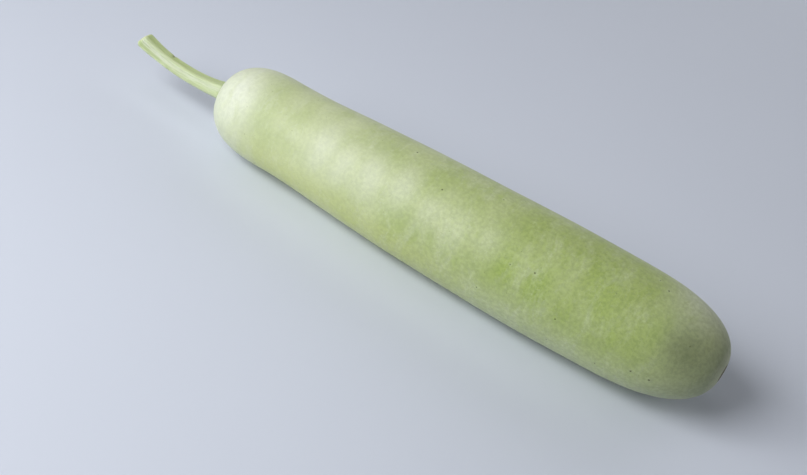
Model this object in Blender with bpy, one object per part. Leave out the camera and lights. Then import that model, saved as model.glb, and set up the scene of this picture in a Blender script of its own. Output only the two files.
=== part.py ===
"""A long bottle gourd as picked: the fruit and its cut stem, lying on a small flat spot.

Lengths are in metres and +Z is up. +X runs from the stem to the blossom end. The origin is on the
surface that the gourd lies on, under the middle of the box round the whole thing.
"""

import math

import bmesh
import bpy
from mathutils import Matrix, Vector

# The fruit's driving sizes
BODY_LENGTH = 0.380
BELLY_RADIUS = 0.0392

# Places along the body and the radius there, as shares of the length and of the belly's radius
BODY_OUTLINE = (
    (0.00, 0.808),
    (0.10, 0.808),
    (0.18, 0.815),
    (0.28, 0.873),
    (0.40, 0.935),
    (0.52, 0.971),
    (0.68, 1.000),
    (0.86, 0.978),
    (1.00, 0.976),
)
STEM_DOME_LENGTH = 0.116 * BODY_LENGTH
BLOSSOM_DOME_LENGTH = 0.200 * BODY_LENGTH
DOME_FULLNESS = 2.5  # 2 is an ellipse, and more is blunter
SIDE_BOW = 0.0087 * BODY_LENGTH
FLAT_DEPTH = 0.0003
REST_SPAN = 0.10 * BODY_LENGTH  # the stretch that lies level under the weight

# The scar of the flower: a round pit inside a thin ring groove
SCAR_GROOVE_RADIUS = 0.0066
SCAR_GROOVE_HALF_WIDTH = 0.0006
SCAR_GROOVE_DEPTH = 0.0005
SCAR_PIT_FLOOR = 0.0012
SCAR_PIT_BRIM = 0.0030
SCAR_PIT_DEPTH = 0.0010
SCAR_OUTER_RADIUS = 0.0090  # past it the dome is plain

# The stem's driving sizes
STEM_REACH = 0.0718
STEM_DIP = math.radians(11.5)  # its slope down where it leaves the fruit
STEM_LIFT = math.radians(19.5)  # its slope up at its tip
STEM_TIP_HEIGHT = 0.0042  # of its tip over its foot
STEM_RADIUS = 0.0053
BASE_SWELL = 0.0012
BASE_RUN = 0.014
FOOT_FLARE = 0.0013
FOOT_RUN = 0.003
TIP_SWELL = 0.0008
TIP_SHARE = 0.30  # the last share of the stem, which swells towards the cut
RIBS = 5
RIB_DEPTH = 0.07
RIB_TURN = math.radians(32)  # of a rib from the top, towards -Y
STEM_TWIST = math.radians(4)
CUT_SLANT = math.radians(15)
CUT_FACES = Vector((0.0, 0.2, 0.98))  # the side that the slanted cut is turned to
CUT_SPARE = 0.004  # grown past the cut, then cut away
CUT_ROUNDING = 0.0020
# Steps that round the cut's edge: inwards and outwards, as shares of the rounding
CUT_ROUNDING_STEPS = ((0.3, 0.7), (0.7, 0.3))

# The seat is a flat round recess, a little wider and deeper than the stem's foot
GAP = 0.0003
SEAT_RADIUS = (STEM_RADIUS + BASE_SWELL + FOOT_FLARE) * (1 + RIB_DEPTH) + GAP
SEAT_WALL = 0.0006
SEAT_DEPTH = 0.0013  # below the top of the dome

# Fineness of the faceted surfaces
FRUIT_SIDES = 56
STEM_DOME_RINGS = 11
BODY_RINGS = 22
BLOSSOM_DOME_RINGS = 15
STEM_SIDES = 40
STEM_RINGS = 24
MERGE_DISTANCE = 0.00001
CUT_TOLERANCE = 0.000001
SHARP_ANGLE = math.radians(35)

FRUIT_COLOUR = (0.47, 0.56, 0.30, 1.0)
FRUIT_ROUGHNESS = 0.42
STEM_COLOUR = (0.50, 0.60, 0.34, 1.0)
STEM_ROUGHNESS = 0.55


def clear_scene():
    """Remove every object that is in the scene."""
    for thing in list(bpy.data.objects):
        bpy.data.objects.remove(thing, do_unlink=True)


def plain_material(name, colour, roughness):
    """A Principled material of one colour."""
    material = bpy.data.materials.new(name)
    material.use_nodes = True
    shader = material.node_tree.nodes["Principled BSDF"]
    shader.inputs["Base Color"].default_value = colour
    shader.inputs["Roughness"].default_value = roughness
    shader.inputs["Metallic"].default_value = 0.0
    material.diffuse_color = colour
    return material


def object_from(bm, name, material):
    """A smooth-shaded object made of this mesh, with its faces pointing out."""
    bmesh.ops.recalc_face_normals(bm, faces=bm.faces)
    mesh = bpy.data.meshes.new(name)
    bm.to_mesh(mesh)
    bm.free()
    mesh.shade_smooth()
    mesh.set_sharp_from_angle(angle=SHARP_ANGLE)
    mesh.materials.append(material)
    thing = bpy.data.objects.new(name, mesh)
    bpy.context.scene.collection.objects.link(thing)
    return thing


def smooth_step(share):
    """0 up to 0, 1 from 1 on, and a smooth rise between."""
    share = min(max(share, 0.0), 1.0)
    return share * share * (3 - 2 * share)


def outline_slope(index):
    """The outline's slope at one of its places, level at both ends."""
    if index in (0, len(BODY_OUTLINE) - 1):
        return 0.0
    (before, low), (after, high) = BODY_OUTLINE[index - 1], BODY_OUTLINE[index + 1]
    return (high - low) / (after - before)


def body_radius(along):
    """The body's radius at this distance from the stem pole, before the domes round its ends."""
    share = min(max(along / BODY_LENGTH, 0.0), 1.0)
    index = max(i for i, (place, _) in enumerate(BODY_OUTLINE[:-1]) if place <= share)
    (start, low), (end, high) = BODY_OUTLINE[index], BODY_OUTLINE[index + 1]
    width = end - start
    t = (share - start) / width
    rise = (high - low) * smooth_step(t)
    lean_in = outline_slope(index) * width * t * (1 - t) ** 2
    lean_out = outline_slope(index + 1) * width * t * t * (1 - t)
    return BELLY_RADIUS * (low + rise + lean_in - lean_out)


def dome_point(turn, length):
    """A point of a dome as its distance from the pole and its share of the body's radius."""
    power = 2 / DOME_FULLNESS
    return length * (1 - math.cos(turn) ** power), math.sin(turn) ** power


def dome_turn(radius, end_radius):
    """The turn at which a dome has this radius."""
    return math.asin((radius / end_radius) ** (DOME_FULLNESS / 2))


def turns_from(first, rings):
    """Evenly spaced turns from the first one to the rim of a dome."""
    return [first + (math.pi / 2 - first) * ring / rings for ring in range(rings + 1)]


def scar_sink(radius):
    """How far the scar's relief lies below the dome at this radius."""
    pit = 1 - smooth_step((radius - SCAR_PIT_FLOOR) / (SCAR_PIT_BRIM - SCAR_PIT_FLOOR))
    groove = 1 - smooth_step(abs(radius - SCAR_GROOVE_RADIUS) / SCAR_GROOVE_HALF_WIDTH)
    return SCAR_PIT_DEPTH * pit + SCAR_GROOVE_DEPTH * groove


def scar_radii():
    """The radii of the rings that show the scar's relief."""
    pit = [SCAR_PIT_FLOOR, (SCAR_PIT_FLOOR + SCAR_PIT_BRIM) / 2, SCAR_PIT_BRIM]
    groove = [SCAR_GROOVE_RADIUS + side * SCAR_GROOVE_HALF_WIDTH for side in (-1, 0, 1)]
    between = (SCAR_PIT_BRIM + groove[0]) / 2
    return pit + [between] + groove


def stem_end_outline():
    """The outline from the middle of the seat to the rim of the stem dome."""
    end_radius = body_radius(0.0)
    floor = [(SEAT_DEPTH, 0.0), (SEAT_DEPTH, SEAT_RADIUS)]
    first = dome_turn(SEAT_RADIUS + SEAT_WALL, end_radius)
    dome = []
    for turn in turns_from(first, STEM_DOME_RINGS):
        along, share = dome_point(turn, STEM_DOME_LENGTH)
        dome.append((along, share * body_radius(along)))
    return floor + dome


def blossom_end_outline():
    """The outline from the rim of the blossom dome to the middle of the scar."""
    end_radius = body_radius(BODY_LENGTH)
    turns = [dome_turn(radius, end_radius) for radius in scar_radii()]
    turns += turns_from(dome_turn(SCAR_OUTER_RADIUS, end_radius), BLOSSOM_DOME_RINGS)
    outline = [(BODY_LENGTH - SCAR_PIT_DEPTH, 0.0)]
    for turn in turns:
        back, share = dome_point(turn, BLOSSOM_DOME_LENGTH)
        radius = share * body_radius(BODY_LENGTH - back)
        outline.append((BODY_LENGTH - back - scar_sink(radius), radius))
    return outline[::-1]


def fruit_outline():
    """The fruit's half outline as distance along the body and radius, from the seat to the scar."""
    first = STEM_DOME_LENGTH
    last = BODY_LENGTH - BLOSSOM_DOME_LENGTH
    step = (last - first) / BODY_RINGS
    places = [first + step * ring for ring in range(1, BODY_RINGS)]
    body = [(along, body_radius(along)) for along in places]
    return stem_end_outline() + body + blossom_end_outline()


def balance_point(outline):
    """How far along the body its weight is centred."""
    weight = moment = 0.0
    for (start, low), (end, high) in zip(outline, outline[1:]):
        slab = (end - start) * (low + high) ** 2
        weight += slab
        moment += slab * (start + end) / 2
    return moment / weight


def resting_tilt(rest):
    """The spine's rise per metre with which the underside is level where the fruit rests."""
    half = REST_SPAN / 2
    return (body_radius(rest + half) - body_radius(rest - half)) / REST_SPAN


def spine(along, rest):
    """The middle of the fruit here: bowed seen from above, and straight seen from the side."""
    off_middle = 2 * along / BODY_LENGTH - 1
    side = -SIDE_BOW * (1 - off_middle**2)
    height = body_radius(rest) + resting_tilt(rest) * (along - rest) - FLAT_DEPTH
    return Vector((along, side, height))


def spun(outline):
    """The outline turned once round the X axis, as a closed mesh."""
    bm = bmesh.new()
    verts = [bm.verts.new((along, 0.0, radius)) for along, radius in outline]
    edges = [bm.edges.new(pair) for pair in zip(verts, verts[1:])]
    bmesh.ops.spin(
        bm,
        geom=verts + edges,
        axis=(1.0, 0.0, 0.0),
        cent=(0.0, 0.0, 0.0),
        angle=math.tau,
        steps=FRUIT_SIDES,
        use_merge=True,
    )
    bmesh.ops.remove_doubles(bm, verts=bm.verts, dist=MERGE_DISTANCE)
    return bm


def cut_off(bm, point, normal):
    """Cut away what lies beyond a plane, close the cut with one flat face, and give that face back."""
    everything = bm.verts[:] + bm.edges[:] + bm.faces[:]
    cut = bmesh.ops.bisect_plane(
        bm,
        geom=everything,
        dist=CUT_TOLERANCE,
        plane_co=point,
        plane_no=normal,
        clear_outer=True,
    )
    rim = [piece for piece in cut["geom_cut"] if isinstance(piece, bmesh.types.BMEdge)]
    return bmesh.ops.edgeloop_fill(bm, edges=rim)["faces"][0]


def make_fruit(rest, outline):
    """The fruit: a turned outline, bowed sideways, with a small flat spot under its weight."""
    bm = spun(outline)
    for vertex in bm.verts:
        middle = spine(vertex.co.x, rest)
        vertex.co.y += middle.y
        vertex.co.z += middle.z
    cut_off(bm, point=(0.0, 0.0, 0.0), normal=(0.0, 0.0, -1.0))
    return object_from(bm, "fruit", plain_material("gourd_skin", FRUIT_COLOUR, FRUIT_ROUGHNESS))


def stem_path(foot):
    """The four handles of the stem's curve, from its foot to its tip."""
    tip = foot + Vector((-STEM_REACH, 0.0, STEM_TIP_HEIGHT))
    third = STEM_REACH / 3
    leaving = foot + third * Vector((-1.0, 0.0, -math.tan(STEM_DIP)))
    arriving = tip + third * Vector((1.0, 0.0, -math.tan(STEM_LIFT)))
    return foot, leaving, arriving, tip


def curve_point(handles, share):
    """The point at this share of a Bezier curve, and the curve's direction there."""
    points = list(handles)
    while len(points) > 2:
        points = [a.lerp(b, share) for a, b in zip(points, points[1:])]
    return points[0].lerp(points[1], share), (points[1] - points[0]).normalized()


def stem_radius(share, angle):
    """The stem's radius at this share of its length and this angle round it."""
    run = share * STEM_REACH
    base = BASE_SWELL * math.exp(-run / BASE_RUN) + FOOT_FLARE * math.exp(-run / FOOT_RUN)
    tip = TIP_SWELL * smooth_step((share - 1 + TIP_SHARE) / TIP_SHARE)
    rib = 1 + RIB_DEPTH * math.cos(RIBS * (angle - RIB_TURN - STEM_TWIST * share))
    return (STEM_RADIUS + base + tip) * rib


def stem_surface(handles, share, angle):
    """A point of the stem's surface. The angle runs from the top towards -Y."""
    middle, direction = curve_point(handles, share)
    level = Vector((-1.0, 0.0, 0.0))
    facing = level.lerp(direction, smooth_step(share * STEM_REACH / BASE_RUN)).normalized()
    side = Vector((0.0, 1.0, 0.0))
    top = side.cross(facing)
    radius = stem_radius(share, angle)
    return middle + radius * (math.cos(angle) * top - math.sin(angle) * side)


def make_stem(foot):
    """The stem: a cylinder drawn along its path, ribbed, flared at its foot and cut aslant at its tip."""
    bm = bmesh.new()
    bmesh.ops.create_cone(
        bm, cap_ends=True, segments=STEM_SIDES, radius1=1.0, radius2=1.0, depth=1.0
    )
    upright = [edge for edge in bm.edges if edge.verts[0].co.z * edge.verts[1].co.z < 0]
    bmesh.ops.subdivide_edges(bm, edges=upright, cuts=STEM_RINGS - 1)
    handles = stem_path(foot)
    spare = 1 + CUT_SPARE / STEM_REACH
    for vertex in bm.verts:
        angle = math.atan2(vertex.co.y, vertex.co.x)
        vertex.co = stem_surface(handles, spare * (vertex.co.z + 0.5), angle)
    tip, direction = curve_point(handles, 1.0)
    slant = math.cos(CUT_SLANT) * direction + math.sin(CUT_SLANT) * CUT_FACES
    slant.normalize()
    face = cut_off(bm, point=tip - CUT_ROUNDING * slant, normal=slant)
    face.normal_update()
    if face.normal.dot(slant) < 0:
        face.normal_flip()
    for inwards, outwards in CUT_ROUNDING_STEPS:
        bmesh.ops.inset_region(
            bm,
            faces=[face],
            thickness=inwards * CUT_ROUNDING,
            depth=outwards * CUT_ROUNDING,
            use_even_offset=True,
        )
    return object_from(bm, "stem", plain_material("gourd_stem", STEM_COLOUR, STEM_ROUGHNESS))


def stand_on_origin(pieces):
    """Move the pieces so that the box round them is centred over the origin."""
    corners = [vertex.co for piece in pieces for vertex in piece.data.vertices]
    middle_x = (min(c.x for c in corners) + max(c.x for c in corners)) / 2
    middle_y = (min(c.y for c in corners) + max(c.y for c in corners)) / 2
    for piece in pieces:
        piece.data.transform(Matrix.Translation((-middle_x, -middle_y, 0.0)))


def main():
    clear_scene()
    outline = fruit_outline()
    rest = balance_point(outline)
    fruit = make_fruit(rest, outline)
    foot = spine(0.0, rest) + Vector((SEAT_DEPTH - GAP, 0.0, 0.0))
    stem = make_stem(foot)
    stand_on_origin((fruit, stem))


main()
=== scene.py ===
"""A long bottle gourd as picked: pale mottled skin with the scar of its flower, and a cut, ribbed stem.

Lengths are in metres and +Z is up. +X runs from the stem to the blossom end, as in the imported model.
A place on the fruit is given by how far along the body it is, from the stem pole, and by an angle
round the body, from the top towards -Y.
"""

import math

import bmesh
import bpy
from bpy.props import FloatProperty, FloatVectorProperty, PointerProperty
from mathutils import Matrix, Vector, noise


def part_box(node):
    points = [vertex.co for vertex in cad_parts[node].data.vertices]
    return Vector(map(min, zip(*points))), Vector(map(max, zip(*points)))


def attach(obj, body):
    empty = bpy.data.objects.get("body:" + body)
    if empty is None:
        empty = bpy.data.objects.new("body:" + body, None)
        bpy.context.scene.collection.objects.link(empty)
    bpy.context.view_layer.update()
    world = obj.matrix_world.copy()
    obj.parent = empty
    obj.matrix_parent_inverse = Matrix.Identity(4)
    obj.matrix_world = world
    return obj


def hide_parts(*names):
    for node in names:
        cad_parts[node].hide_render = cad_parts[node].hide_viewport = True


bl_info = {
    "name": "Bottle Gourd",
    "version": (1, 0, 0),
    "blender": (4, 5, 0),
    "location": "3D View > Sidebar > Bottle Gourd",
    "description": "Dresses a long bottle gourd: its mottled skin, its cut stem and a plain studio",
    "category": "Object",
}

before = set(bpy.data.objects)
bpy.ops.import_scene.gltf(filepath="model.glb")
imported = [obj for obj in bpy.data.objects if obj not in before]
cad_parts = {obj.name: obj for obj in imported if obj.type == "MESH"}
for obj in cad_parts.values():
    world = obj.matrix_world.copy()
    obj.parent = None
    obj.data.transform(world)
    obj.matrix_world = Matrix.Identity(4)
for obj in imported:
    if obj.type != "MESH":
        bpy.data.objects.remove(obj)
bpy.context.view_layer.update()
FRUIT_LOW, FRUIT_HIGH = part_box("fruit")
BODY = "root"

# The fruit's outline, as places along the body and the radius there, in shares
BODY_OUTLINE = (
    (0.00, 0.808),
    (0.10, 0.808),
    (0.18, 0.815),
    (0.28, 0.873),
    (0.40, 0.935),
    (0.52, 0.971),
    (0.68, 1.000),
    (0.86, 0.978),
    (1.00, 0.976),
)
STEM_DOME_SHARE = 0.116  # of the body's length
BLOSSOM_DOME_SHARE = 0.200
DOME_FULLNESS = 2.5  # 2 is an ellipse, and more is blunter
SIDE_BOW_SHARE = 0.0087
REST_SPAN_SHARE = 0.10  # of the body's length, which lies level under the weight
FLAT_DEPTH = 0.0003
WEIGHING_SLABS = 400

# Soft hollows of the surface: their lengths along X, Y and Z, and how much of each goes in
BROAD_HOLLOW = (0.055, 0.040, 0.040)
BROAD_SHARE = 0.42
NARROW_HOLLOW = (0.020, 0.018, 0.018)
NARROW_SHARE = 0.16

# The scar of the flower: a ragged round pit inside a thin ring groove
SCAR_GROOVE_RADIUS = 0.0066
SCAR_GROOVE_HALF_WIDTH = 0.0008
SCAR_GROOVE_DEPTH = 0.0006
SCAR_PIT_FLOOR = 0.0012
SCAR_PIT_BRIM = 0.0030
SCAR_PIT_DEPTH = 0.0010
SCAR_CRACKS = 17
SCAR_CRACK_DEPTH = 0.00014
SCAR_CRACK_WANDER = 0.9
SCAR_WANDERS_PER_METRE = 400
SCAR_LUMP_DEPTH = 0.00012
SCAR_LUMPS_PER_METRE = 900
SCAR_HALO_REACH = 0.0160  # of the paler skin round the scar

# The seat: the skin dips to the stem's foot and puckers softly between its ribs
SEAT_SINK = 0.0005
SEAT_LIP_WIDTH = 0.0016
SEAT_TUCK = 0.0002
PUCKER_DEPTH = 0.00030
PUCKER_REACH = 0.0050

# The patterns' noise: size of its lumps, detail, roughness, distortion
CLOUDS = (0.040, 4.0)
MOTTLES = (0.020, 5.0, 0.66)
STREAKS = (0.020, 6.0, 0.68, 0.4)
CURLS = (0.0042, 1.0)
GRAIN = (0.0026, 4.0, 0.65)
PORES = (0.0008, 2.0)
HALO_LUMPS = (0.0050, 4.0, 0.6)
CORK_GRAIN = (0.0012, 4.0, 0.65)
BLOTCHES = (0.006, 3.0)
FLESH_GRAIN = (0.0009, 3.0)
FLOOR_CLOUDS = (0.35, 3.0)
FLOOR_GRAIN = (0.0015, 2.0)

# Noise in threads along the stem: width as a share of its radius, squeeze along it, detail, roughness
FIBRE_THREADS = (0.16, 0.10, 4.0, 0.65)
FINE_THREADS = (0.05, 0.05, 2.0)
LINES = (0.22, 0.04, 3.0, 0.6)

# How the patterns' space is pushed about, as the wisps' size and how far, and how it is squeezed
WISPS = (0.030, 0.012)
CURL_WISPS = (0.004, 0.002)
MOTTLE_SQUEEZE = (1.7, 0.7, 0.7)  # shorter along the fruit than round it
STREAK_SQUEEZE = (1.9, 0.7, 0.7)
CLOUD_SHIFT = 0.9  # how far the clouds shift the green along the fruit

# Loose specks: the size of the cells that may hold one, the share that does, and its radius
FRECKLES = (0.0045, 0.30, 0.00042)
STRAY_SPECKS = (0.0150, 0.60, 0.0008)

# How deep the materials' finest relief is
CLOUD_RELIEF = 0.0004
STREAK_RELIEF = 0.00012
GRAIN_RELIEF = 0.00005
PORE_RELIEF = 0.00002
SPECK_RELIEF = 0.0001
FIBRE_RELIEF = 0.00018
THREAD_RELIEF = 0.00006
FLOOR_RELIEF = 0.00002

# Fineness of the skin
SKIN_SIDES = 224
SEAT_ZONE = 0.0120
SEAT_RINGS = 34
STEM_DOME_RINGS = 40
BODY_RINGS = 110
BLOSSOM_DOME_RINGS = 54
SCAR_ZONE = 0.0086
SCAR_RINGS = 43
SKIN_INSET = 0.00005
MERGE_DISTANCE = 0.000005

# The stem
STEM_REACH = 0.0718
STEM_DIP = math.radians(11.5)  # its slope down where it leaves the fruit
STEM_LIFT = math.radians(19.5)  # its slope up at its tip
STEM_TIP_HEIGHT = 0.0042  # of its tip over its foot
BASE_SWELL = 0.0012
BASE_RUN = 0.014
FOOT_FLARE = 0.0013
FOOT_RUN = 0.003
TIP_SWELL = 0.0008
TIP_SHARE = 0.30  # the last share of the stem, which swells towards the cut
RIBS = 5
RIB_SHARPNESS = 1.5
RIB_TURN = math.radians(32)  # of a rib from the top, towards -Y
FIBRES = 35
FIBRE_DEPTH = 0.00007
CUT_SLANT = math.radians(15)
CUT_FACES = Vector((0.0, 0.2, 0.98))  # the side that the slanted cut is turned to
CUT_INSET = 0.0004  # of the cut inside the CAD stem's
CUT_SPARE = 0.004  # grown past the cut, then cut away
CUT_ROUNDING = 0.0028
CUT_TOLERANCE = 0.000001

# Rings worked into the cut: shares of its radius, of the rounding's height, and of the rind that is gone
CUT_RINGS = (
    (0.978, 0.300, 0.00),
    (0.915, 0.575, 0.12),
    (0.828, 0.775, 0.45),
    (0.727, 0.910, 0.85),
    (0.614, 0.985, 1.00),
    (0.530, 1.000, 1.00),
    (0.430, 0.990, 1.00),
    (0.340, 0.950, 1.00),
    (0.250, 0.900, 1.00),
    (0.160, 0.860, 1.00),
    (0.070, 0.840, 1.00),
)
BUNDLES = 10  # small green ones in a ring round the cut's middle
BUNDLE_RING = ((0.34, 0.44), (0.62, 0.52))  # its start and end, from 0 at the rim to 1 in the middle
NICK_SHARE = 0.645  # of the stem's length
NICK_ANGLE = math.radians(-28)
NICK_LENGTH = 0.0011
NICK_WIDTH = math.radians(24)
NICK_DEPTH = 0.00055
PALE_LIT_STREAK_ANGLE = math.radians(56)  # of the pale streak, partly painted light on the side turned to the light
PALE_LIT_STREAK_WIDTH = math.radians(30)
FOOT_DEPTH = 0.0010  # of the CAD foot under the stem pole
FOOT_EXTRA = 0.0010  # that the foot is sunk deeper in the skin
STEM_SIDES = 160
STEM_RINGS = 150
SHARP_ANGLE = math.radians(40)

# Deep green patches on the skin: along, angle, radius, strength
PATCHES = (
    (0.237, 68, 0.011, 1.00),
    (0.259, 66, 0.011, 1.10),
    (0.289, 27, 0.014, 0.60),
    (0.299, 46, 0.015, 0.70),
    (0.336, 49, 0.012, 0.95),
    (0.158, 80, 0.018, 0.50),
    (0.331, 67, 0.015, 0.45),
    (0.242, 8, 0.014, 0.40),
    (0.170, 18, 0.014, 0.50),
    (0.195, 24, 0.012, 0.30),
    (0.137, 19, 0.012, 0.35),
    (0.295, 94, 0.014, 0.40),
    (0.052, 67, 0.014, 0.35),
    # The next three rows are partly painted shade: the darker band just past the stem dome
    (0.041, 20, 0.016, 0.50),
    (0.043, 46, 0.016, 0.55),
    (0.066, 30, 0.014, 0.30),
)
PATCH_SQUEEZE = Vector((1.3, 0.8, 0.8))  # shorter along the fruit than round it

# Whitish patches on the skin, partly its pale wax and mostly painted highlight (the light's sheen along the
# body, the dome's highlight and a lighter upper edge at the blossom end): along, angle, radius, strength
WAX_AND_HIGHLIGHT_PATCHES = (
    (0.020, 46, 0.024, 1.00),
    (0.093, 47, 0.015, 0.52),
    (0.111, 56, 0.013, 0.42),
    (0.130, 50, 0.014, 0.47),
    (0.154, 47, 0.013, 0.40),
    (0.176, 54, 0.012, 0.28),
    (0.195, 60, 0.012, 0.25),
    (0.219, 49, 0.012, 0.22),
    (0.350, -22, 0.028, 0.55),
)

# Painted shade: a dark patch that stands in for the core shadow near the blossom end: along, angle, radius
SHADE = (0.355, 52, 0.024)

# Small dark specks on the skin: along, angle, radius
SPECKS = (
    (0.146, 0, 0.0009),
    (0.238, 59, 0.0006),
    (0.254, 55, 0.0008),
    (0.225, 97, 0.0007),
    (0.278, 114, 0.0007),
    (0.320, -4, 0.0007),
    (0.328, 3, 0.0009),
    (0.333, 97, 0.0009),
    (0.345, 99, 0.0010),
    (0.211, 3, 0.0007),
)

# The stage
FLOOR_RADIUS = 14.0
FLOOR_SIDES = 96
FAR_FLOOR = (0.5, 1.9)  # the radii between which the floor's own glow rises
HORIZON_BAND = math.radians(20)
LIGHT_PLACES = {
    "key": Vector((-0.60, -0.92, 0.93)),
    "rim": Vector((0.11, 1.51, 0.80)),
    "end": Vector((0.91, 1.08, 0.78)),
    "side": Vector((-0.94, -0.64, 0.84)),
    "top": Vector((-0.62, 0.00, 1.72)),
}
LIGHTS_AIM = Vector((0.0, 0.0, 0.03))
CAMERA_AIM = Vector((0.0004, 0.0085, 0.0))
SENSOR_WIDTH = 36.0  # in millimetres


def on_screen(red, green, blue):
    """A colour given as it looks on a screen, from 0 to 255, made linear."""
    def linear(level):
        level /= 255
        return level / 12.92 if level <= 0.04045 else ((level + 0.055) / 1.055) ** 2.4

    return (linear(red), linear(green), linear(blue), 1.0)


# Lesser tones of the skin, most with how far they cover it
# Straw tones of the painted light on the underside
STRAW = on_screen(200, 208, 126)
PALE_STRAW = on_screen(200, 208, 172)
# Partly painted shade: the scar's cork darker than it is, as if turned from the light
CORK_DARK_SHADE = on_screen(86, 71, 48)
DARK_PIT = on_screen(60, 42, 24)
# Partly painted shade: the blossom end greyer and duller, where less light reaches it
BLOSSOM_END_TONE_AND_SHADE = (on_screen(160, 164, 136), 0.60)
# Colour of the painted shade near the blossom end
SHADE_TINT = (on_screen(106, 116, 82), 0.60)
HALO_TINT = (on_screen(208, 209, 172), 0.65)
# Partly painted shade: the ring groove near black, as if turned from the light
SCAR_RING_SHADE_TINT = (on_screen(46, 40, 30), 0.95)
# Painted shade in the dip round the stem's foot
SEAT_SHADE_TINT = (on_screen(120, 128, 74), 0.8)

# Lesser tones of the stem, most with how far they cover it
DAMP_FLESH = on_screen(206, 212, 168)
GREEN_LINE_TINT = (on_screen(158, 178, 104), 0.60)
DULL_TINT = (on_screen(190, 200, 150), 0.25)
LOWER_TINT = (on_screen(176, 190, 142), 0.35)
# Painted shade at the stem's foot, where it meets the fruit
FOOT_SHADE_TINT = (on_screen(150, 164, 108), 0.35)
NICK_TINT = (on_screen(104, 112, 70), 0.8)
BUNDLE_TINT = (on_screen(150, 172, 104), 0.7)
CORE_TINT = (on_screen(196, 196, 152), 0.6)

# How far the other marks cover what is under them
UNDERSIDE_LIGHT_COVER = 0.5
CURL_COVER = 0.09
FRECKLE_COVER = 0.45
SPECK_COVER = 0.85
SPECK_RIM_COVER = 0.06
CORK_COVER = 0.80
CREST_COVER = 0.35
PALE_LINE_COVER = 0.6
RIND_COVER = 0.22

# Pairs that the fine patterns multiply a colour by, where it is dark and where it is light
GRAIN_TONES = ((0.86, 0.87, 0.86, 1.0), (1.10, 1.10, 1.08, 1.0))
THREAD_TONES = ((0.84, 0.86, 0.80, 1.0), (1.05, 1.05, 1.07, 1.0))
FLOOR_TONES = ((0.985, 0.985, 0.985, 1.0), (1.0, 1.0, 1.0, 1.0))


def size_setting(name, description, default):
    return FloatProperty(
        name=name, description=description, default=default, min=0.0, unit="LENGTH", precision=4
    )


def angle_setting(name, description, degrees):
    return FloatProperty(name=name, description=description, default=math.radians(degrees), subtype="ANGLE")


def power_setting(name, description, default):
    return FloatProperty(name=name, description=description, default=default, min=0.0, unit="POWER")


def strength_setting(name, description, default):
    return FloatProperty(name=name, description=description, default=default, min=0.0)


def colour_setting(name, description, default):
    return FloatVectorProperty(
        name=name, description=description, default=default, size=4, min=0.0, max=1.0, subtype="COLOR"
    )


class GourdSkinSettings(bpy.types.PropertyGroup):
    """The fruit's sizes and the colours of its skin."""

    body_length: size_setting("Body Length", "From the stem pole to the blossom pole", 0.380)
    belly_radius: size_setting("Belly Radius", "Radius where the body is thickest", 0.0392)
    waviness: size_setting("Waviness", "How deep the soft hollows of the surface are", 0.0004)
    pale_colour: colour_setting("Pale Green", "The skin's lightest green", on_screen(196, 205, 163))
    mid_colour: colour_setting("Middle Green", "The skin's usual green", on_screen(158, 173, 108))
    deep_colour: colour_setting("Deep Green", "The mottles", on_screen(148, 168, 84))
    # The whitish colour of the skin's wax, which also paints its highlights
    wax_and_highlight_colour: colour_setting("Bloom", "The whitish veil over the green", on_screen(222, 226, 212))
    speck_colour: colour_setting("Specks", "The small dark specks", on_screen(84, 88, 52))
    # Partly painted shade: the cork darker than it is, as if turned from the light
    cork_and_shade_colour: colour_setting("Cork", "The scar's corky ring", on_screen(110, 95, 67))
    pit_colour: colour_setting("Pit", "The middle of the scar", on_screen(88, 66, 40))


class GourdStemSettings(bpy.types.PropertyGroup):
    """The stem's sizes and colours."""

    radius: size_setting("Radius", "The stem's middle radius, between base and tip", 0.0053)
    rib_depth: FloatProperty(
        name="Rib Depth",
        description="Height of the ribs as a share of the radius",
        default=0.07,
        min=0.0,
        max=0.3,
        subtype="FACTOR",
    )
    twist: angle_setting("Twist", "How far the ribs turn from foot to tip", 4)
    # This colour also paints the pale streak, which is partly painted light
    rib_colour: colour_setting("Ribs", "The pale streak and the ribs' crests", on_screen(216, 221, 200))
    groove_colour: colour_setting("Grooves", "The green between the ribs", on_screen(190, 204, 148))
    cut_colour: colour_setting("Cut", "The pale wet face of the cut", on_screen(220, 223, 190))
    rind_colour: colour_setting("Rind", "The green edge of the cut", on_screen(128, 152, 78))


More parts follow.
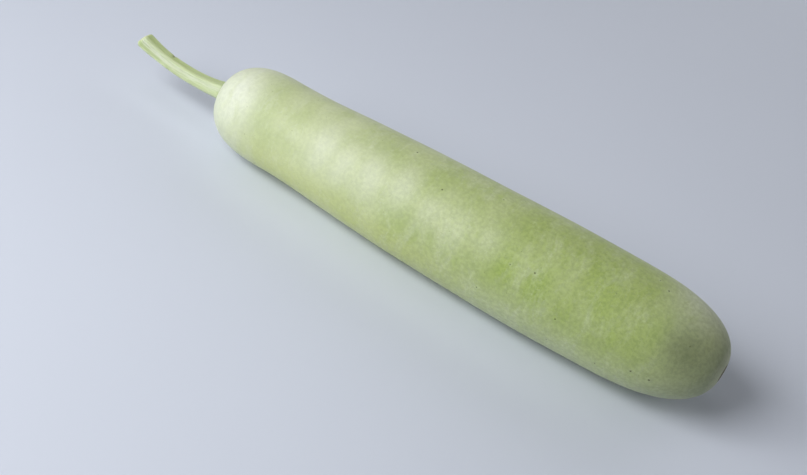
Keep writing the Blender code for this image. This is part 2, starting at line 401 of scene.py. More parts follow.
class GourdStudioSettings(bpy.types.PropertyGroup):
    """The floor, the light and the camera."""

    floor_colour: colour_setting("Floor", "The plain pale floor", on_screen(213, 219, 232))
    sky_colour: colour_setting("Sky", "The soft light from all round", on_screen(212, 220, 232))
    sky_strength: strength_setting("Sky Strength", "Brightness of the sky overhead", 0.045)
    horizon_strength: strength_setting("Horizon Strength", "Brightness low down and of the far floor", 0.55)
    key_power: power_setting("Key Power", "Power of the main soft light, in front of the fruit", 7.0)
    key_size: size_setting("Key Size", "Width of the main soft light", 0.90)
    key_spread: angle_setting("Key Spread", "How wide the main light's beam opens", 110)
    rim_power: power_setting("Rim Power", "Power of the soft light behind the fruit", 6.1)
    rim_size: size_setting("Rim Size", "Width of the soft light behind the fruit", 1.60)
    end_power: power_setting("End Power", "Power of the soft light behind the blossom end", 2.2)
    end_size: size_setting("End Size", "Width of the soft light behind the blossom end", 1.0)
    side_power: power_setting("Side Power", "Power of the small light that shines on the stem's dome", 3.3)
    side_size: size_setting("Side Size", "Width of the small light by the stem's dome", 0.40)
    top_power: power_setting("Top Power", "Power of the soft light high over the stem", 2.7)
    top_size: size_setting("Top Size", "Width of the soft light over the stem", 1.0)
    lens: FloatProperty(
        name="Lens",
        description="The camera's focal length",
        default=70.0,
        min=1.0,
        subtype="DISTANCE_CAMERA",
    )
    azimuth: angle_setting("Azimuth", "Turn of the view from looking along +Y", 18.0)
    elevation: angle_setting("Elevation", "Height of the view over the horizon", 37.31)
    roll: angle_setting("Roll", "Lean of the camera about its own view", 19.86)
    distance: size_setting("Distance", "From the camera to the point that it aims at", 1.0507)


def smooth_step(share):
    """0 up to 0, 1 from 1 on, and a smooth rise between."""
    share = min(max(share, 0.0), 1.0)
    return share * share * (3 - 2 * share)


def outline_slope(index):
    """The outline's slope at one of its places, level at both ends."""
    if index in (0, len(BODY_OUTLINE) - 1):
        return 0.0
    (before, low), (after, high) = BODY_OUTLINE[index - 1], BODY_OUTLINE[index + 1]
    return (high - low) / (after - before)


class Fruit:
    """The form of the fruit before its fine relief, and where it lies in the frame."""

    def __init__(self, settings):
        self.length = settings.body_length
        self.belly = settings.belly_radius
        self.waviness = settings.waviness
        self.stem_dome = STEM_DOME_SHARE * self.length
        self.blossom_dome = BLOSSOM_DOME_SHARE * self.length
        self.rest = self.balance_point()
        span = REST_SPAN_SHARE * self.length
        self.tilt = (self.body_radius(self.rest + span / 2) - self.body_radius(self.rest - span / 2)) / span
        self.shift = Vector((0.0, 0.0, 0.0))
        self.shift = self.place_in_frame()

    def body_radius(self, along):
        """The body's radius here, before the domes round its ends."""
        share = min(max(along / self.length, 0.0), 1.0)
        index = max(i for i, (place, _) in enumerate(BODY_OUTLINE[:-1]) if place <= share)
        (start, low), (end, high) = BODY_OUTLINE[index], BODY_OUTLINE[index + 1]
        width = end - start
        t = (share - start) / width
        rise = (high - low) * smooth_step(t)
        lean_in = outline_slope(index) * width * t * (1 - t) ** 2
        lean_out = outline_slope(index + 1) * width * t * t * (1 - t)
        return self.belly * (low + rise + lean_in - lean_out)

    def stem_end(self, turn):
        """A point of the outline on the stem dome, at this turn from the pole."""
        power = 2 / DOME_FULLNESS
        along = self.stem_dome * (1 - math.cos(turn) ** power)
        return along, math.sin(turn) ** power * self.body_radius(along)

    def blossom_end(self, turn):
        """A point of the outline on the blossom dome, at this turn from the pole."""
        power = 2 / DOME_FULLNESS
        along = self.length - self.blossom_dome * (1 - math.cos(turn) ** power)
        return along, math.sin(turn) ** power * self.body_radius(along)

    def turn_at(self, radius, end):
        """The turn at which the dome round an end of the body has this radius."""
        return math.asin((radius / self.body_radius(end)) ** (DOME_FULLNESS / 2))

    def radius(self, along):
        """The fruit's radius at this distance along it, domes and all."""
        before = 1 - along / self.stem_dome
        past = 1 - (self.length - along) / self.blossom_dome
        lost = max(before, past, 0.0)
        return self.body_radius(along) * max(1 - lost**DOME_FULLNESS, 0.0) ** (1 / DOME_FULLNESS)

    def balance_point(self):
        """How far along the body its weight is centred."""
        weight = moment = 0.0
        for slab in range(WEIGHING_SLABS):
            along = self.length * (slab + 0.5) / WEIGHING_SLABS
            area = self.radius(along) ** 2
            weight += area
            moment += area * along
        return moment / weight

    def spine(self, along):
        """The middle of the fruit here: bowed seen from above, and straight seen from the side."""
        off_middle = 2 * along / self.length - 1
        side = -SIDE_BOW_SHARE * self.length * (1 - off_middle**2)
        height = self.body_radius(self.rest) + self.tilt * (along - self.rest) - FLAT_DEPTH
        return Vector((along, side, height)) + self.shift

    def point(self, along, angle, radius):
        """The point at this radius round the spine."""
        return self.spine(along) + radius * Vector((0.0, -math.sin(angle), math.cos(angle)))

    def surface(self, along, angle):
        """The point of the plain surface here."""
        return self.point(along, angle, self.radius(along))

    def place_in_frame(self):
        """The shift that lays the fruit where the frame's solid lies."""
        brim, _ = self.blossom_end(self.turn_at(SCAR_PIT_BRIM, self.length))
        places = [self.length * slab / WEIGHING_SLABS for slab in range(WEIGHING_SLABS + 1)]
        low = min(self.spine(along).y - self.radius(along) for along in places)
        high = max(self.spine(along).y + self.radius(along) for along in places)
        middle = (FRUIT_LOW.y + FRUIT_HIGH.y) / 2
        return Vector((FRUIT_HIGH.x - brim, middle - (low + high) / 2, 0.0))


class Recipe:
    """A material or a sky in the making. Each method adds a node and gives back what it puts out."""

    def __init__(self, made, shader="Principled BSDF"):
        made.use_nodes = True
        self.made = made
        self.tree = made.node_tree
        self.shader = self.tree.nodes[shader]
        self.spaces = self.node("ShaderNodeTexCoord").outputs
        self.place = self.spaces["Object"]

    def node(self, kind, inputs=None, **settings):
        """A new node with these settings, and its inputs fed by name or number."""
        made = self.tree.nodes.new(kind)
        for name, value in settings.items():
            setattr(made, name, value)
        for socket, value in (inputs or {}).items():
            self.feed(made.inputs[socket], value)
        return made

    def feed(self, socket, value):
        """Join an output to this socket, or set the socket to a plain value."""
        if isinstance(value, bpy.types.NodeSocket):
            self.tree.links.new(value, socket)
        else:
            socket.default_value = value

    def finish(self, **sockets):
        """Feed the shader's sockets, which are named with _ for a space, and give back what is made."""
        for name, value in sockets.items():
            self.feed(self.shader.inputs[name.replace("_", " ")], value)
        return self.made

    def attribute(self, name, output="Fac"):
        """What the mesh keeps under this name at each of its points: a number, or a vector."""
        return self.node("ShaderNodeAttribute", attribute_name=name).outputs[output]

    def axes(self, vector):
        """The vector's X, Y and Z."""
        return self.node("ShaderNodeSeparateXYZ", {"Vector": vector}).outputs

    def calc(self, operation, *values):
        return self.node("ShaderNodeMath", dict(enumerate(values)), operation=operation).outputs["Value"]

    def times(self, first, second):
        return self.calc("MULTIPLY", first, second)

    def plus(self, first, second):
        return self.calc("ADD", first, second)

    def vector_calc(self, operation, *values, output="Vector"):
        made = self.node("ShaderNodeVectorMath", dict(enumerate(values)), operation=operation)
        return made.outputs[output]

    def stretched(self, vector, scale):
        """The pattern's space, scaled along its axes."""
        return self.node("ShaderNodeMapping", {"Vector": vector, "Scale": scale}).outputs["Vector"]

    def noise(self, vector, size, detail=3.0, roughness=0.55, distortion=0.0):
        """Cloudy noise with lumps of about this size, from 0 to 1."""
        inputs = {
            "Vector": vector,
            "Scale": 1 / size,
            "Detail": detail,
            "Roughness": roughness,
            "Distortion": distortion,
        }
        return self.node("ShaderNodeTexNoise", inputs).outputs["Fac"]

    def warped(self, vector, size, amount):
        """The pattern's space, pushed about by noise so that shapes in it go wispy."""
        drift = self.node("ShaderNodeTexNoise", {"Vector": vector, "Scale": 1 / size, "Detail": 2.0})
        centred = self.vector_calc("SUBTRACT", drift.outputs["Color"], (0.5, 0.5, 0.5))
        return self.vector_calc("MULTIPLY_ADD", centred, (amount, amount, amount), vector)

    def ramp(self, value, low, high):
        """0 at one value and 1 at the other, with a smooth rise between."""
        inputs = {"Value": value, "From Min": low, "From Max": high}
        return self.node("ShaderNodeMapRange", inputs, interpolation_type="SMOOTHSTEP").outputs["Result"]

    def blend(self, share, first, second, blend_type="MIX"):
        """The first colour at a share of 0 and the second at 1."""
        inputs = {0: share, 6: first, 7: second}
        return self.node("ShaderNodeMix", inputs, data_type="RGBA", blend_type=blend_type).outputs[2]

    def tint(self, colour, amount, tone, cover):
        """The colour with this tone laid over it, which covers it this far where the amount is 1."""
        return self.blend(self.times(amount, cover), colour, tone)

    def spots(self, size, share, radius):
        """Sparse round spots on the surface: a share of the cells of this size holds one."""
        cells = self.node("ShaderNodeTexVoronoi", {"Vector": self.place, "Scale": 1 / size})
        pick = self.node("ShaderNodeSeparateColor", {"Color": cells.outputs["Color"]})
        chosen = self.calc("LESS_THAN", pick.outputs["Red"], share)
        near = self.ramp(cells.outputs["Distance"], radius / size, 0.4 * radius / size)
        return self.times(chosen, near)

    def distance(self, point):
        """How far the surface is from this point."""
        return self.vector_calc("DISTANCE", self.place, point, output="Value")

    def relief(self, *layers):
        """Fine relief, from heights and how deep each of them goes, one on top of the other."""
        bump = None
        for height, depth in layers:
            inputs = {"Distance": depth, "Height": height}
            if bump is not None:
                inputs["Normal"] = bump
            bump = self.node("ShaderNodeBump", inputs).outputs["Normal"]
        return bump


def placed(name, data):
    """A new object in the scene, of this mesh, lamp or camera."""
    made = bpy.data.objects.new(name, data)
    bpy.context.scene.collection.objects.link(made)
    return made


def placed_mesh(bm, name, material):
    """A new object in the scene, of this finished mesh."""
    mesh = bpy.data.meshes.new(name)
    bm.to_mesh(mesh)
    bm.free()
    mesh.materials.append(material)
    return placed(name, mesh)


def finished_piece(bm, name, material, node):
    """The mesh as a smooth object that rides on the body and stands for its CAD node."""
    bmesh.ops.recalc_face_normals(bm, faces=bm.faces)
    piece = placed_mesh(bm, name, material)
    piece.data.shade_smooth()
    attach(piece, BODY)
    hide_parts(node)
    return piece


def skin_outline(fruit):
    """The plain outline, pole to pole, with its rings close together where the relief is fine."""
    brim = math.pi / 2
    first = fruit.turn_at(SEAT_ZONE, 0.0)
    turns = [fruit.turn_at(SEAT_ZONE * ring / SEAT_RINGS, 0.0) for ring in range(SEAT_RINGS)]
    turns += [first + (brim - first) * ring / STEM_DOME_RINGS for ring in range(STEM_DOME_RINGS)]
    outline = [fruit.stem_end(turn) for turn in turns]

    start = fruit.stem_dome
    run = fruit.length - fruit.blossom_dome - start
    places = [start + run * ring / BODY_RINGS for ring in range(BODY_RINGS + 1)]
    outline += [(along, fruit.body_radius(along)) for along in places]

    last = fruit.turn_at(SCAR_ZONE, fruit.length)
    past_brim = [ring / BLOSSOM_DOME_RINGS for ring in range(1, BLOSSOM_DOME_RINGS)]
    turns = [brim - (brim - last) * share for share in past_brim]
    scar_radii = [SCAR_ZONE * (1 - ring / SCAR_RINGS) for ring in range(SCAR_RINGS + 1)]
    turns += [fruit.turn_at(radius, fruit.length) for radius in scar_radii]
    return outline + [fruit.blossom_end(turn) for turn in turns]


def spun(outline, sides):
    """The outline turned once round the X axis, as a closed mesh."""
    bm = bmesh.new()
    verts = [bm.verts.new((along, 0.0, radius)) for along, radius in outline]
    edges = [bm.edges.new(pair) for pair in zip(verts, verts[1:])]
    bmesh.ops.spin(
        bm,
        geom=verts + edges,
        axis=(1.0, 0.0, 0.0),
        cent=(0.0, 0.0, 0.0),
        angle=math.tau,
        steps=sides,
        use_merge=True,
    )
    bmesh.ops.remove_doubles(bm, verts=bm.verts, dist=MERGE_DISTANCE)
    return bm


def ragged(angle, frequency, seed):
    """Noise round a circle, from about -1 to 1, that closes on itself."""
    return noise.noise(Vector((frequency * math.cos(angle), frequency * math.sin(angle), seed)))


def scar_relief(radius, angle):
    """The scar here: how far it lies below the dome, and how much pit, ring and cork it shows."""
    pit_radius = radius * (1 + 0.22 * ragged(angle, 1.6, 3.1) + 0.10 * ragged(angle, 5.0, 7.7))
    pit = 1 - smooth_step((pit_radius - SCAR_PIT_FLOOR) / (SCAR_PIT_BRIM - SCAR_PIT_FLOOR))
    ring_radius = radius * (1 + 0.05 * ragged(angle, 1.3, 5.3) + 0.02 * ragged(angle, 6.0, 1.9))
    ring = 1 - smooth_step(abs(ring_radius - SCAR_GROOVE_RADIUS) / SCAR_GROOVE_HALF_WIDTH)
    ring *= 0.75 + 0.25 * ragged(angle, 2.4, 9.2)
    cork = 1 - smooth_step((ring_radius - SCAR_GROOVE_RADIUS) / SCAR_GROOVE_HALF_WIDTH)
    wander = SCAR_CRACK_WANDER * noise.noise(Vector((radius * SCAR_WANDERS_PER_METRE, angle, 0.4)))
    crack = max(0.0, math.cos(SCAR_CRACKS * angle + wander + 2.0 * ragged(angle, 2.0, 4.4))) ** 6
    crack *= cork * (1 - pit) * (0.5 + 0.5 * ragged(angle, 3.0, 6.6))
    spread = radius * SCAR_LUMPS_PER_METRE
    lumps = 0.5 + 0.5 * noise.noise(Vector((spread * math.cos(angle), spread * math.sin(angle), 2.2)))
    sink = SCAR_PIT_DEPTH * pit * (1 - 0.35 * lumps)
    sink += SCAR_GROOVE_DEPTH * ring + SCAR_CRACK_DEPTH * crack + SCAR_LUMP_DEPTH * cork * lumps
    return sink, pit, ring, cork


def seat_relief(radius, angle, foot_radius):
    """The seat here: how far it lies below the dome, and how close it is to the stem's foot."""
    past = radius - foot_radius + SEAT_TUCK
    outside = smooth_step(past / SEAT_LIP_WIDTH)
    fade = math.exp(-max(past, 0.0) / PUCKER_REACH) * outside
    between = 0.5 - 0.5 * math.cos(RIBS * (angle - RIB_TURN))
    sink = SEAT_SINK * (1 - outside) + PUCKER_DEPTH * between * fade
    return sink, 1 - outside


def wave(point):
    """Soft hollows over the whole fruit, from 0 to 1."""
    broad = noise.noise(Vector([place / size for place, size in zip(point, BROAD_HOLLOW)]))
    narrow = noise.noise(Vector([place / size for place, size in zip(point, NARROW_HOLLOW)]))
    return min(max(0.5 + BROAD_SHARE * broad + NARROW_SHARE * narrow, 0.0), 1.0)


def patches_on(fruit, table):
    """The table's patches as centre, radius and strength."""
    return [(fruit.surface(along, math.radians(turn)), radius, most) for along, turn, radius, most in table]


def patch_strength(point, patches):
    """How strong the colour of the patches is here."""
    strength = 0.0
    for centre, radius, most in patches:
        offset = (point - centre) * PATCH_SQUEEZE
        strength = max(strength, most * math.exp(-((offset.length / radius) ** 2)))
    return strength


def shape_skin(bm, fruit, stem):
    """Give the turned outline its relief, bend it and lay it down, and note what its colours follow."""
    names = ("pit", "ring", "cork", "halo", "seat", "patch", "bloom")
    pit_layer, ring_layer, cork_layer, halo_layer, seat_layer, patch_layer, wax_and_highlight_layer = [
        bm.verts.layers.float.new(name) for name in names
    ]
    patches = patches_on(fruit, PATCHES)
    wax_and_highlights = patches_on(fruit, WAX_AND_HIGHLIGHT_PATCHES)
    for vertex in bm.verts:
        along = vertex.co.x
        radius = math.hypot(vertex.co.y, vertex.co.z)
        angle = math.atan2(-vertex.co.y, vertex.co.z)
        lowered = fruit.point(along, angle, radius)
        hollow = SKIN_INSET + fruit.waviness * wave(lowered)
        plain = radius
        radius = max(radius - hollow * smooth_step(radius / SEAT_ZONE), 0.0)
        along_sunk = along
        if along < fruit.stem_dome and plain < 2 * SEAT_ZONE:
            sink, near = seat_relief(plain, angle, stem.radius(0.0, angle))
            vertex[seat_layer] = near
            along_sunk += sink + SKIN_INSET
        if along > fruit.length - fruit.blossom_dome and plain < 2 * SCAR_ZONE:
            sink, pit, ring, cork = scar_relief(plain, angle)
            vertex[pit_layer] = pit
            vertex[ring_layer] = ring
            vertex[cork_layer] = cork
            vertex[halo_layer] = 1 - smooth_step((plain - SCAR_GROOVE_RADIUS) / SCAR_HALO_REACH)
            along_sunk -= sink + SKIN_INSET
        vertex.co = fruit.point(along, angle, radius)
        vertex.co.x += along_sunk - along
        vertex.co.z = max(vertex.co.z, 0.0)
        vertex[patch_layer] = patch_strength(vertex.co, patches)
        vertex[wax_and_highlight_layer] = patch_strength(vertex.co, wax_and_highlights)


def skin_material(settings, fruit):
    """Pale waxy skin: cloudy greens, deeper mottles, a whitish veil in streaks, grain and specks, with
    painted highlights, painted shade and a painted lighter underside.
    """
    mix = Recipe(bpy.data.materials.new("gourd_skin"))
    place = mix.place
    wispy = mix.warped(place, *WISPS)
    axes = mix.axes(place)
    share = mix.times(mix.plus(axes["X"], -fruit.shift.x), 1 / fruit.length)

    clouds = mix.noise(wispy, *CLOUDS)
    cloudy = mix.times(mix.plus(clouds, -0.5), CLOUD_SHIFT)
    greener = mix.ramp(mix.plus(share, cloudy), 0.08, 0.78)
    colour = mix.blend(greener, settings.pale_colour, settings.mid_colour)

    grain = mix.noise(place, *GRAIN)
    mottles = mix.noise(mix.stretched(wispy, MOTTLE_SQUEEZE), *MOTTLES)
    grainy = mix.plus(mottles, mix.times(mix.plus(grain, -0.5), 0.16))
    toward_blossom = mix.ramp(share, 0.13, 0.70)
    most = mix.plus(mix.times(toward_blossom, 0.28), 0.18)
    mottle = mix.times(mix.ramp(grainy, 0.49, 0.66), most)
    patch = mix.times(mix.attribute("patch"), mix.ramp(grainy, 0.20, 0.52))
    deep = mix.calc("MAXIMUM", mottle, mix.times(patch, 0.9))
    colour = mix.blend(deep, colour, settings.deep_colour)

    # Painted light: the underside is made paler, in straw tones, where fill light would lift its shade
    painted_underside_light = mix.times(mix.ramp(axes["Z"], 0.050, 0.020), mix.ramp(share, 0.02, 0.14))
    straw = mix.blend(mix.ramp(share, 0.40, 0.65), STRAW, PALE_STRAW)
    colour = mix.tint(colour, painted_underside_light, straw, UNDERSIDE_LIGHT_COVER)

    streaks = mix.noise(mix.stretched(wispy, STREAK_SQUEEZE), *STREAKS)
    streak = mix.ramp(streaks, 0.44, 0.74)
    # Partly painted highlight: the whitish veil at the stem's end stands in for the dome's highlight, over
    # the skin's paler tone there
    stem_end = mix.ramp(share, 0.15, 0.01)
    # Painted highlight: whitish clouds where the light's sheen falls on the body and the stem's dome
    cloud = mix.times(mix.attribute("bloom"), mix.ramp(streaks, 0.15, 0.50))
    veil = mix.plus(mix.times(streak, 0.21), mix.times(stem_end, 0.56))
    veil = mix.calc("MAXIMUM", veil, mix.times(cloud, 0.8))
    colour = mix.blend(veil, colour, settings.wax_and_highlight_colour)

    curls = mix.noise(mix.warped(place, *CURL_WISPS), *CURLS)
    curl = mix.ramp(mix.calc("ABSOLUTE", mix.plus(curls, -0.5)), 0.030, 0.004)
    curl = mix.times(curl, mix.ramp(streaks, 0.30, 0.60))
    colour = mix.tint(colour, curl, settings.wax_and_highlight_colour, CURL_COVER)

    # Partly painted shade: the blossom end greyer and duller, where less light reaches it
    colour = mix.tint(colour, mix.ramp(share, 0.84, 0.99), *BLOSSOM_END_TONE_AND_SHADE)
    # Painted shade: the dark core shadow near the blossom end
    along, angle, reach = SHADE
    shade = mix.ramp(mix.distance(fruit.surface(along, math.radians(angle))), reach, 0.0)
    colour = mix.tint(colour, shade, *SHADE_TINT)

    grained = mix.blend(mix.ramp(grain, 0.30, 0.70), *GRAIN_TONES)
    coarser = mix.plus(mix.times(toward_blossom, 0.60), 0.40)
    colour = mix.blend(coarser, colour, mix.blend(1.0, colour, grained, "MULTIPLY"))

    colour = mix.tint(colour, mix.spots(*FRECKLES), settings.speck_colour, FRECKLE_COVER)
    nearest = None
    for along, angle, radius in SPECKS:
        away = mix.times(mix.distance(fruit.surface(along, math.radians(angle))), 1 / radius)
        nearest = away if nearest is None else mix.calc("MINIMUM", nearest, away)
    specks = mix.calc("MAXIMUM", mix.ramp(nearest, 1.0, 0.45), mix.spots(*STRAY_SPECKS))
    colour = mix.tint(colour, mix.ramp(nearest, 3.2, 1.2), settings.wax_and_highlight_colour, SPECK_RIM_COVER)
    colour = mix.tint(colour, specks, settings.speck_colour, SPECK_COVER)

    drift = mix.noise(place, *HALO_LUMPS)
    around = mix.times(mix.attribute("halo"), mix.ramp(drift, 0.15, 0.60))
    colour = mix.tint(colour, around, *HALO_TINT)
    cork_grain = mix.noise(place, *CORK_GRAIN)
    # Partly painted shade: the cork and its ring groove darkened as if turned from the light
    cork = mix.blend(mix.ramp(cork_grain, 0.35, 0.65), settings.cork_and_shade_colour, CORK_DARK_SHADE)
    colour = mix.tint(colour, mix.attribute("cork"), cork, CORK_COVER)
    ring = mix.times(mix.attribute("ring"), mix.ramp(cork_grain, 0.15, 0.50))
    colour = mix.tint(colour, ring, *SCAR_RING_SHADE_TINT)
    pit = mix.blend(mix.ramp(cork_grain, 0.35, 0.65), DARK_PIT, settings.pit_colour)
    colour = mix.blend(mix.attribute("pit"), colour, pit)
    # Painted shade in the dip round the stem's foot
    colour = mix.tint(colour, mix.attribute("seat"), *SEAT_SHADE_TINT)

    normal = mix.relief(
        (clouds, CLOUD_RELIEF),
        (streaks, STREAK_RELIEF),
        (grain, GRAIN_RELIEF),
        (mix.noise(place, *PORES), PORE_RELIEF),
        (mix.times(specks, -1.0), SPECK_RELIEF),
    )
    satin = mix.plus(mix.times(streak, 0.10), mix.times(grain, 0.12))
    rough = mix.plus(satin, 0.42)
    rough = mix.plus(rough, mix.times(mix.attribute("cork"), 0.3))
    return mix.finish(
        Base_Color=colour,
        Roughness=rough,
        Normal=normal,
        Specular_IOR_Level=0.24,
        Subsurface_Weight=0.12,
        Subsurface_Radius=(1.0, 1.0, 0.45),
        Subsurface_Scale=0.003,
        Sheen_Weight=0.14,
        Sheen_Roughness=0.35,
    )


class Stem:
    """The form of the stem: a ribbed stalk along a curve, flared at its foot."""

    def __init__(self, settings, fruit):
        self.middle_radius = settings.radius
        self.rib_depth = settings.rib_depth
        self.twist = settings.twist
        foot = fruit.spine(0.0) + Vector((FOOT_DEPTH, 0.0, 0.0))
        tip = foot + Vector((-STEM_REACH, 0.0, STEM_TIP_HEIGHT))
        third = STEM_REACH / 3
        leaving = foot + third * Vector((-1.0, 0.0, -math.tan(STEM_DIP)))
        arriving = tip + third * Vector((1.0, 0.0, -math.tan(STEM_LIFT)))
        self.handles = (foot, leaving, arriving, tip)

    def curve_point(self, share):
        """The point at this share of the stem's curve, and the curve's direction there."""
        points = list(self.handles)
        while len(points) > 2:
            points = [a.lerp(b, share) for a, b in zip(points, points[1:])]
        return points[0].lerp(points[1], share), (points[1] - points[0]).normalized()

    def rib(self, share, angle):
        """1 on the crest of a rib and -1 in the middle of a groove."""
        swing = 0.5 + 0.5 * math.cos(RIBS * (angle - RIB_TURN - self.twist * share))
        return 2 * swing**RIB_SHARPNESS - 1

    def radius(self, share, angle):
        """The stem's radius at this share of its length and this angle round it."""
        run = max(share, 0.0) * STEM_REACH
        base = BASE_SWELL * math.exp(-run / BASE_RUN) + FOOT_FLARE * math.exp(-run / FOOT_RUN)
        tip = TIP_SWELL * smooth_step((share - 1 + TIP_SHARE) / TIP_SHARE)
        return (self.middle_radius + base + tip) * (1 + self.rib_depth * self.rib(share, angle))

    def nick(self, share, angle):
        """How much of the small nick on the stem's back is here."""
        along = (share - NICK_SHARE) * STEM_REACH / NICK_LENGTH
        across = math.remainder(angle - NICK_ANGLE, math.tau) / NICK_WIDTH
        return math.exp(-(along**2) - across**2)

    def bleach(self, share, angle):
        """How much of the pale streak along the stem's side is here: partly the stem's own pale face and
        partly painted light on the side turned to the light.
        """
        across = math.remainder(angle - PALE_LIT_STREAK_ANGLE - self.twist * share, math.tau) / PALE_LIT_STREAK_WIDTH
        return math.exp(-(across**2))

    def surface(self, share, angle):
        """A point of the stem's surface, with its fibres."""
        middle, direction = self.curve_point(share)
        level = Vector((-1.0, 0.0, 0.0))
        facing = level.lerp(direction, smooth_step(share * STEM_REACH / BASE_RUN)).normalized()
        side = Vector((0.0, 1.0, 0.0))
        top = side.cross(facing)
        turned = angle - self.twist * share
        wander = 1.2 * ragged(turned, 1.5, 9.0 * share)
        fibre = 0.5 + 0.5 * math.cos(FIBRES * turned + wander)
        lump = 0.5 + 0.5 * ragged(turned, 1.2, 5.0 * share + 3.0)
        radius = self.radius(share, angle) - FIBRE_DEPTH * (fibre + lump)
        radius -= NICK_DEPTH * self.nick(share, angle)
        return middle + radius * (math.cos(angle) * top - math.sin(angle) * side)


def shape_stem(stem):
    """The stem's mesh: a cylinder drawn along its curve and cut aslant."""
    bm = bmesh.new()
    bmesh.ops.create_cone(bm, cap_ends=True, segments=STEM_SIDES, radius1=1.0, radius2=1.0, depth=1.0)
    upright = [edge for edge in bm.edges if edge.verts[0].co.z * edge.verts[1].co.z < 0]
    bmesh.ops.subdivide_edges(bm, edges=upright, cuts=STEM_RINGS - 1)
    rib_layer, share_layer, nick_layer, pale_lit_streak_layer = [
        bm.verts.layers.float.new(name) for name in ("rib", "share", "nick", "bleach")
    ]
    fibre_layer = bm.verts.layers.float_vector.new("fibre")
    first = -FOOT_EXTRA / STEM_REACH
    last = 1 + CUT_SPARE / STEM_REACH
    for vertex in bm.verts:
        angle = math.atan2(vertex.co.y, vertex.co.x)
        share = first + (last - first) * (vertex.co.z + 0.5)
        turned = angle - stem.twist * share
        vertex[rib_layer] = 0.5 + 0.5 * stem.rib(share, angle)
        vertex[share_layer] = share
        vertex[nick_layer] = stem.nick(share, angle)
        vertex[pale_lit_streak_layer] = stem.bleach(share, angle)
        along = share * STEM_REACH / stem.middle_radius
        vertex[fibre_layer] = Vector((math.cos(turned), math.sin(turned), along))
        vertex.co = stem.surface(share, angle)
    tip, direction = stem.curve_point(1.0)
    slant = math.cos(CUT_SLANT) * direction + math.sin(CUT_SLANT) * CUT_FACES
    slant.normalize()
    cut_stem(bm, tip - (CUT_INSET + CUT_ROUNDING) * slant, slant)
    return bm


def cut_stem(bm, point, facing):
    """Cut the stem's tip off, and work its rind, flesh and soft middle into the face of the cut."""
    cut_layer = bm.verts.layers.float.new("cut")
    core_layer = bm.verts.layers.float.new("core")
    everything = bm.verts[:] + bm.edges[:] + bm.faces[:]
    cut = bmesh.ops.bisect_plane(
        bm, geom=everything, dist=CUT_TOLERANCE, plane_co=point, plane_no=facing, clear_outer=True
    )
    rim = [piece for piece in cut["geom_cut"] if isinstance(piece, bmesh.types.BMEdge)]
    face = bmesh.ops.edgeloop_fill(bm, edges=rim)["faces"][0]
    face.normal_update()
    if face.normal.dot(facing) < 0:
        face.normal_flip()
    middle = face.calc_center_median()
    inner = 1.0
    for share, rise, whiteness in CUT_RINGS:
        bmesh.ops.inset_region(bm, faces=[face], thickness=0.0, depth=0.0)
        for vertex in face.verts:
            offset = vertex.co - middle
            offset -= offset.dot(facing) * facing
            vertex.co = middle + offset * (share / inner) + rise * CUT_ROUNDING * facing
            vertex[cut_layer] = whiteness
            vertex[core_layer] = 1 - share
        inner = share
    for vertex in bmesh.ops.poke(bm, faces=[face])["verts"]:
        vertex[cut_layer] = 1.0
        vertex[core_layer] = 1.0


